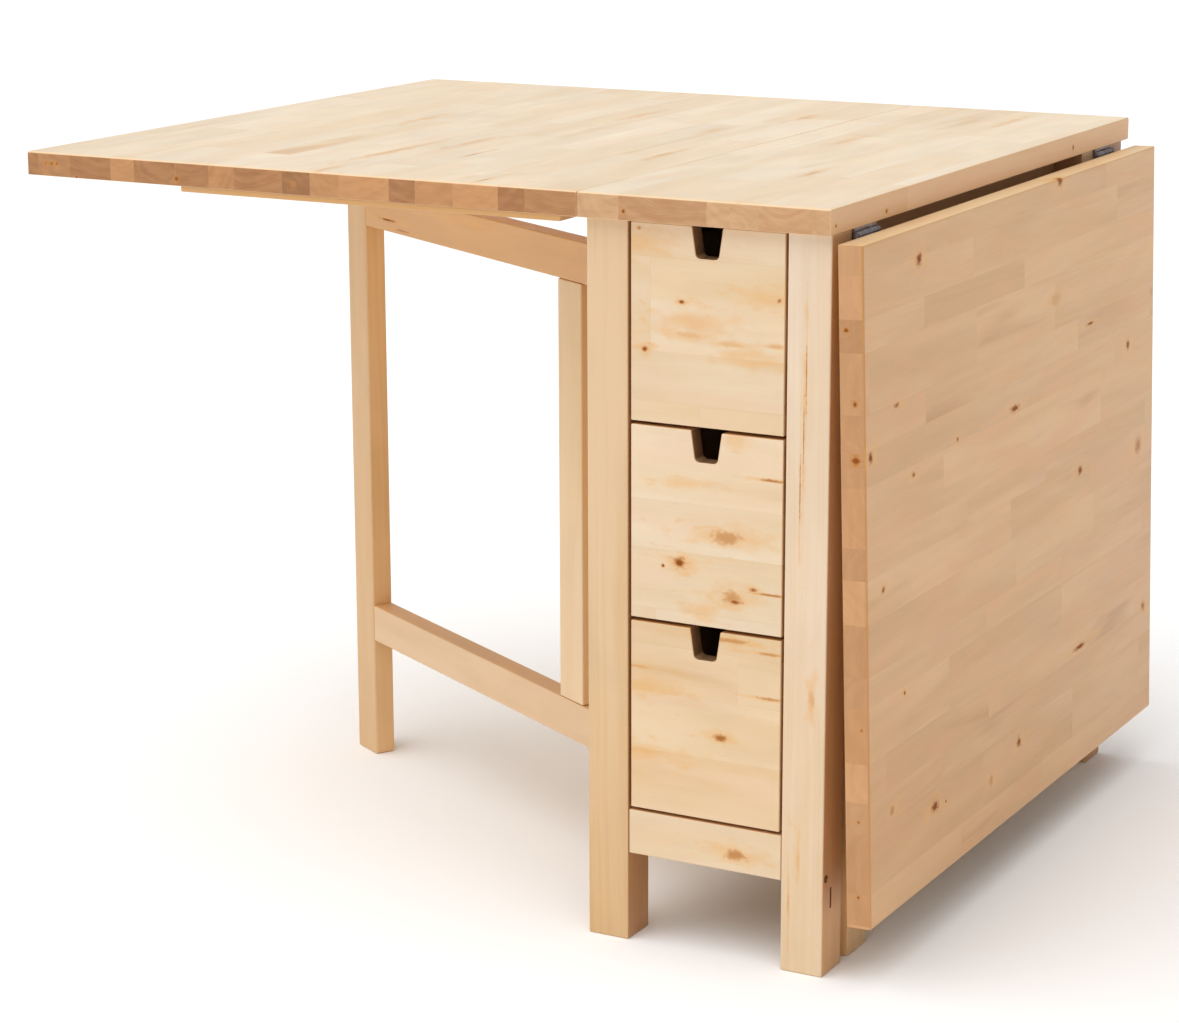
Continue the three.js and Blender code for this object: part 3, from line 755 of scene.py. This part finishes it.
def top_rounding(hinge_sides, underside):
    """The share of rounding of a top's edges: less along a hinge line, and least on the underside."""
    def weigh(start, end):
        if max(start.z, end.z) < underside + GAP:
            return TOP_UNDER_EDGE / TOP_EDGE
        for side_x in hinge_sides:
            if max(abs(start.x - side_x), abs(end.x - side_x)) < GAP:
                upright = abs(start.z - end.z) > GAP
                return (HINGE_SIDE_CORNER if upright else HINGE_SIDE_EDGE) / TOP_EDGE
        return 1.0

    return weigh


def make_centre_top():
    tool = bmesh.new()
    for side, sign in SIDES.items():
        for end in ENDS:
            add_board(tool, *hinge_box(f"hinge_fixed_{end}_{side}", -sign, side), 0)
    mesh = bmesh.new()
    low, high = squared_box("centre_top")
    add_block(mesh, low, high, top_rounding((low.x, high.x), low.z))
    wood = node_wood("centre_top", "yx", TOP_WOOD, stave=CENTRE_STAVE, block=0.42, knottiness=0.06)
    place_piece("centre_top_board", mesh, ["centre_top"], [wood], tool, TOP_EDGE)


def make_leaf(side):
    node = f"leaf_{side}"
    tool = bmesh.new()
    for end in ENDS:
        add_board(tool, *hinge_box(f"hinge_moving_{end}_{side}", SIDES[side], side), 0)
    mesh = bmesh.new()
    low, high = squared_box(node)
    hinge_side = low.x if SIDES[side] > 0 else high.x
    add_block(mesh, low, high, top_rounding((hinge_side,), low.z))
    # The right leaf's wood carries painted warm shade; the left leaf's does not.
    timber, knottiness = (HANGING_LEAF_SHADE_WOOD, 0.16) if side == "right" else (RAISED_LEAF_WOOD, 0.07)
    wood = node_wood(node, "yx", timber, stave=LEAF_STAVE, block=0.30, knottiness=knottiness)
    place_piece(f"leaf_{side}_board", mesh, [node], [wood], tool, TOP_EDGE)


def make_batten(side):
    """A thin strip screwed under the leaf. Its upper edges lie close to the leaf and stay sharp."""
    node = f"batten_{side}"
    low, high = squared_box(node)
    mesh = bmesh.new()
    add_block(mesh, low, high, lambda start, end: float(min(start.z, end.z) < high.z - GAP))
    for number in range(BATTEN_SCREWS):
        along = low.x + (high.x - low.x) * (number + 0.5) / BATTEN_SCREWS
        offset = BATTEN_SCREW_STAGGER * (-1) ** number
        place = (along, (low.y + high.y) / 2 + offset, low.z)
        add_screw(mesh, place, (0, 0, -1), BATTEN_SCREW_RADIUS, 1)
    wood = node_wood(node, "xy", BATTEN_WOOD, knottiness=0.1)
    place_piece(f"batten_{side}_strip", mesh, [node], [wood, SHADED_STEEL], None, BATTEN_EDGE)


def make_gate_stop(side):
    node = f"gate_stop_{side}"
    wood = node_wood(node, "yx", INNER_WOOD)
    place_piece(f"gate_stop_{side}_block", softened(node, STOP_EDGE), [node], [wood])


# --- Hinges -------------------------------------------------------------------------------------


def make_hinge(end, side, fixed):
    """Half a leaf hinge, with ridged knuckles, a plate with countersunk screws and a headed pin."""
    node = f"hinge_{'fixed' if fixed else 'moving'}_{end}_{side}"
    low, high = squared_box(node)
    axis_x, _, axis_z = JOINTS[f"{side}_leaf_hinge"]["pos_m"]
    toward = SIDES[side] * (-1 if fixed else 1)
    middle = (low.y + high.y) / 2
    half = (high.y - low.y) / 2
    plate_low = high.z - PLATE

    def span(near, far):
        ends = (axis_x + toward * near, axis_x + toward * far)
        return min(ends), max(ends)

    def bar(near, far, y_range, z_range, edge):
        left, right = span(near, far)
        add_board(mesh, (left, y_range[0], z_range[0]), (right, y_range[1], z_range[1]), edge, 0, 2)

    reach = abs((low if toward < 0 else high).x - axis_x)
    mesh = bmesh.new()
    whole = (middle - half, middle + half)
    bar(HINGE_LINK_INSET, reach, whole, (plate_low, high.z), 0.0004)
    link_bottom = axis_z + KNUCKLE_RADIUS + GAP
    bar(HINGE_LINK_INSET, HINGE_LINK_INSET + PLATE, whole, (link_bottom, high.z), 0.0003)
    inner = KNUCKLE_MIDDLE / 2
    ranges = [(-half, -inner - GAP), (inner + GAP, half)] if fixed else [(-inner, inner)]
    for start, stop in ranges:
        lug = (middle + start, middle + stop)
        bar(HINGE_LINK_INSET, HINGE_LINK_INSET + PLATE - GAP, lug, (axis_z, link_bottom + GAP), 0.0003)
        ridge, groove = KNUCKLE_RADIUS, KNUCKLE_RADIUS * 0.86
        step = (stop - start) / RIDGES
        outline = [(start, ridge * 0.9)]
        for number in range(RIDGES):
            base = start + number * step
            outline += [(base + 0.1 * step, ridge), (base + 0.84 * step, ridge), (base + 0.92 * step, groove)]
        outline[-1] = (stop, ridge * 0.9)
        add_turned(mesh, outline, (axis_x, middle, axis_z), (0, 1, 0))
    if fixed:
        head = PIN_RADIUS * 1.5
        outline = [(-half - 2 * HEAD_THICKNESS, head * 0.6), (-half - HEAD_THICKNESS, head), (-half, head)]
        outline += [(-half + 0.0001, PIN_RADIUS), (half, PIN_RADIUS), (half, head)]
        outline += [(half + HEAD_THICKNESS, head), (half + 2 * HEAD_THICKNESS, head * 0.6)]
        add_turned(mesh, outline, (axis_x, middle, axis_z), (0, 1, 0), 0, 20)
    for distance, offset in HINGE_SCREWS:
        place = (axis_x + toward * distance, middle + offset, plate_low)
        add_screw(mesh, place, (0, 0, -1), HINGE_SCREW_RADIUS, 1)
    place_piece(node.replace("hinge", "leaf_hinge"), mesh, [node], [SHADED_STEEL, BOLT])


# --- Cabinet ------------------------------------------------------------------------------------


def make_leg(end, side):
    """A square leg. A bolt hole and a short kerf under it are cut into its outer side."""
    node = f"leg_{end}_{side}"
    low, high = squared_box(node)
    mesh = bmesh.new()
    add_board(mesh, low, high, LEG_EDGE)
    outer = high.x if SIDES[side] > 0 else low.x
    inward = -SIDES[side]
    face = low.y if ENDS[end] < 0 else high.y
    hole_y = face - ENDS[end] * BOLT_FROM_FACE
    kerf_y = face - ENDS[end] * KERF_FROM_FACE
    hole_z = low.z + BOLT_HEIGHT
    tool = bmesh.new()
    hole = [(-CUT_START, BOLT_HOLE_RADIUS), (BOLT_HOLE_DEPTH, BOLT_HOLE_RADIUS)]
    add_turned(tool, hole, (outer, hole_y, hole_z), (inward, 0, 0), 0, 24)
    near, far = sorted((outer - inward * CUT_START, outer + inward * KERF_DEPTH))
    foot = Vector((near, kerf_y - KERF_HALF_WIDTH, low.z + KERF_FOOT))
    add_board(tool, foot, (far, kerf_y + KERF_HALF_WIDTH, low.z + KERF_TOP), 0)
    # The legs get tanner towards the floor: painted shade, as the light falls off there.
    timber, deepening = (PALE_LEG_WOOD, 0.9) if node == "leg_front_right" else (LEG_WOOD, 1.5)
    wood = node_wood(node, "zx", timber, knottiness=0.10, deepening=deepening)
    centre = (low + high) / 2
    # The hole's and kerf's walls take this dark wood: painted shade inside them.
    cut_shade_wood = birch(node + "_cut_wood", centre, "zx", squared(node), CUT_SHADE_WOOD, CUT_SEED, knottiness=0.0)
    piece = place_piece(f"leg_{end}_{side}_post", mesh, [node], [wood, cut_shade_wood], tool)
    for face in piece.data.polygons:
        if all(low[axis] + LEG_EDGE < face.center[axis] < high[axis] - LEG_EDGE for axis in range(3)):
            face.material_index = 1

    bolt = bmesh.new()
    cap = [(0.0035, 0.0012), (0.0030, 0.0024), (0.0032, 0.0034), (0.0040, 0.0037), (0.0069, 0.0037)]
    add_turned(bolt, cap, (outer, hole_y, hole_z), (inward, 0, 0), 0, 24)
    head = new_object(f"leg_{end}_{side}_bolt", bolt)
    head.data.materials.append(BOLT)
    head.data.shade_smooth()
    head.data.set_sharp_from_angle(angle=CREASE_ANGLE)
    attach(head, NODE_BODY[node])
    return piece


def make_drawer(end, level):
    """A drawer front with its notch, and the box behind it made of two sides, a back and a base."""
    front = f"drawer_{end}_{level}_face"
    timber = {"low": LOW_FRONT_SHADED_WOOD, "middle": MIDDLE_FRONT_WOOD, "top": FRONT_WOOD}[level]
    wood = node_wood(front, "xz", timber, stave=FRONT_STAVE, block=0.9, knottiness=0.2)
    low, high = squared_box(front)
    centre = (low + high) / 2
    # The notch's inner faces take a dark wood: painted shade inside the notch.
    notch_shade_wood = birch(
        front + "_notch_wood", centre, "xz", squared(front), NOTCH_SHADE_WOOD, NOTCH_SEED, knottiness=0.0
    )
    mesh = softened(front, FRONT_EDGE)
    for face in mesh.faces:
        place = face.calc_center_median()
        if abs(place.x - centre.x) < NOTCH_REACH and place.z > centre.z and abs(face.normal.y) < 0.6:
            face.material_index = 1
    place_piece(front + "_board", mesh, [front], [wood, notch_shade_wood])

    box = f"drawer_{end}_{level}_box"
    low, high = squared_box(box)
    inner_low, inner_high = low + Vector((BOX_WALL, 0, 0)), high - Vector((BOX_WALL, 0, 0))
    open_end = low.y if ENDS[end] < 0 else high.y
    closed_end = high.y if ENDS[end] < 0 else low.y
    back = sorted((closed_end, closed_end + ENDS[end] * BOX_WALL))
    base = sorted((open_end, closed_end + ENDS[end] * BOX_WALL))
    mesh = bmesh.new()
    add_board(mesh, low, (low.x + BOX_WALL, high.y, high.z), INNER_EDGE, 0, 3)
    add_board(mesh, (high.x - BOX_WALL, low.y, low.z), high, INNER_EDGE, 0, 3)
    left, right = inner_low.x, inner_high.x
    add_board(mesh, (left, back[0], low.z), (right, back[1], high.z), INNER_EDGE, 1, 3)
    add_board(mesh, (left, base[0], low.z), (right, base[1], low.z + BOX_BASE), INNER_EDGE, 1, 3)
    sides = node_wood(box, "yz", INNER_WOOD)
    across = node_wood(box, "xz", INNER_WOOD)
    place_piece(box + "_boards", mesh, [box], [sides, across])


def make_plain_wood(node, axes, timber, edge, **grain):
    """A piece whose shape is its CAD node's, with rounded edges."""
    mesh = softened(node, edge, SHORT_EDGE)
    place_piece(node + "_wood_piece", mesh, [node], [node_wood(node, axes, timber, **grain)])


def make_pin(level, side):
    """A gate's pivot pin with chamfered ends."""
    node = f"pivot_pin_{level}_{side}"
    low, high = squared_box(node)
    radius = (high.x - low.x) / 2
    length = high.z - low.z
    chamfer = radius * 0.3
    outline = [
        (0, radius - chamfer), (chamfer, radius),
        (length - chamfer, radius), (length, radius - chamfer),
    ]
    mesh = bmesh.new()
    centre = (low + high) / 2
    add_turned(mesh, outline, (centre.x, centre.y, low.z), (0, 0, 1))
    place_piece(node + "_rod", mesh, [node], [SHADED_STEEL])


def make_gate(side):
    make_plain_wood(f"gate_{side}_floor_leg", "zy", GATE_LEG_WOOD, LEG_EDGE, knottiness=0.08)
    make_plain_wood(f"gate_{side}_inner_post", "zy", GATE_POST_WOOD, LEG_EDGE, knottiness=0.08)
    make_plain_wood(f"gate_{side}_lower_rail", "yz", LOWER_RAIL_WOOD, RAIL_EDGE, knottiness=0.2)
    make_plain_wood(f"gate_{side}_upper_rail", "yz", UPPER_RAIL_WOOD, RAIL_EDGE, knottiness=0.2)


make_centre_top()
for side in SIDES:
    make_leaf(side)
    make_gate(side)
    make_gate_stop(side)
    make_batten(side)
    make_plain_wood(f"side_panel_{side}", "yz", INNER_WOOD, INNER_EDGE, stave=PANEL_STAVE, block=0.9)
    for level in ("lower", "upper"):
        make_pin(level, side)
        make_plain_wood(f"pivot_block_{level}_{side}", "yz", INNER_WOOD, INNER_EDGE)
    for level in LEVELS:
        make_plain_wood(f"runner_{side}_{level}", "yz", INNER_WOOD, INNER_EDGE)
    for end in ENDS:
        make_leg(end, side)
        make_hinge(end, side, True)
        make_hinge(end, side, False)
make_plain_wood("centre_divider", "xz", INNER_WOOD, INNER_EDGE, stave=PANEL_STAVE, block=0.9)
for end in ENDS:
    make_plain_wood(f"plinth_rail_{end}", "xz", FRONT_WOOD, FRONT_EDGE)
    for level in LEVELS:
        make_drawer(end, level)

# --- Floor, light and camera --------------------------------------------------------------------

FLOOR_HALF = 45.0
ROOM_LIGHT = 0.42


def make_floor():
    mesh = bmesh.new()
    corners = [(-1, -1), (1, -1), (1, 1), (-1, 1)]
    mesh.faces.new([mesh.verts.new((x * FLOOR_HALF, y * FLOOR_HALF, 0)) for x, y in corners])
    floor = new_object("studio_floor", mesh)
    shade = Shade("studio_floor")
    shade.surface.inputs["Base Color"].default_value = (0.97, 0.97, 0.97, 1.0)
    shade.surface.inputs["Roughness"].default_value = 1.0
    shade.surface.inputs["Specular IOR Level"].default_value = 0.0
    floor.data.materials.append(shade.material)


def make_world():
    """Even grey light all round, which the camera sees as white."""
    world = bpy.data.worlds.new("studio")
    bpy.context.scene.world = world
    world.use_nodes = True
    nodes, links = world.node_tree.nodes, world.node_tree.links
    room = nodes["Background"]
    room.inputs["Color"].default_value = (1.0, 1.0, 1.0, 1.0)
    room.inputs["Strength"].default_value = ROOM_LIGHT
    seen = nodes.new("ShaderNodeBackground")
    seen.inputs["Color"].default_value = (1.0, 1.0, 1.0, 1.0)
    seen.inputs["Strength"].default_value = 1.0
    choice = nodes.new("ShaderNodeMixShader")
    links.new(nodes.new("ShaderNodeLightPath").outputs["Is Camera Ray"], choice.inputs[0])
    links.new(room.outputs[0], choice.inputs[1])
    links.new(seen.outputs[0], choice.inputs[2])
    links.new(choice.outputs[0], nodes["World Output"].inputs["Surface"])


def add_bank(name, toward, spread, strength):
    """A far bank of studio lamps, as wide as the spread in degrees."""
    light = bpy.data.lights.new(name, "SUN")
    light.angle = math.radians(spread)
    light.energy = strength
    lamp = bpy.data.objects.new(name, light)
    lamp.rotation_euler = Vector(toward).to_track_quat("Z", "Y").to_euler()
    bpy.context.scene.collection.objects.link(lamp)


CAMERA_PLACE = Vector((1.5671, -2.9227, 1.1434))
CAMERA_FORWARD = Vector((-0.4676, 0.8509, -0.2395)).normalized()
CAMERA_RIGHT = Vector((0.8768, 0.4808, -0.0036))
CAMERA_LENS = 94.8
SENSOR_WIDTH = 36.0


def make_camera():
    camera = bpy.data.objects.new("camera", bpy.data.cameras.new("camera"))
    backward = -CAMERA_FORWARD
    up = backward.cross(CAMERA_RIGHT).normalized()
    right = up.cross(backward)
    turn = Matrix((right, up, backward)).transposed().to_4x4()
    camera.matrix_world = Matrix.Translation(CAMERA_PLACE) @ turn
    camera.data.lens = CAMERA_LENS
    camera.data.sensor_width = SENSOR_WIDTH
    camera.data.clip_end = 200
    bpy.context.scene.collection.objects.link(camera)
    bpy.context.scene.camera = camera


make_floor()
make_world()
add_bank("overhead_bank", (-0.18, -0.34, 0.92), 80, 2.5)
make_camera()
bpy.context.scene.view_settings.view_transform = "Standard"
bpy.context.scene.view_settings.look = "None"
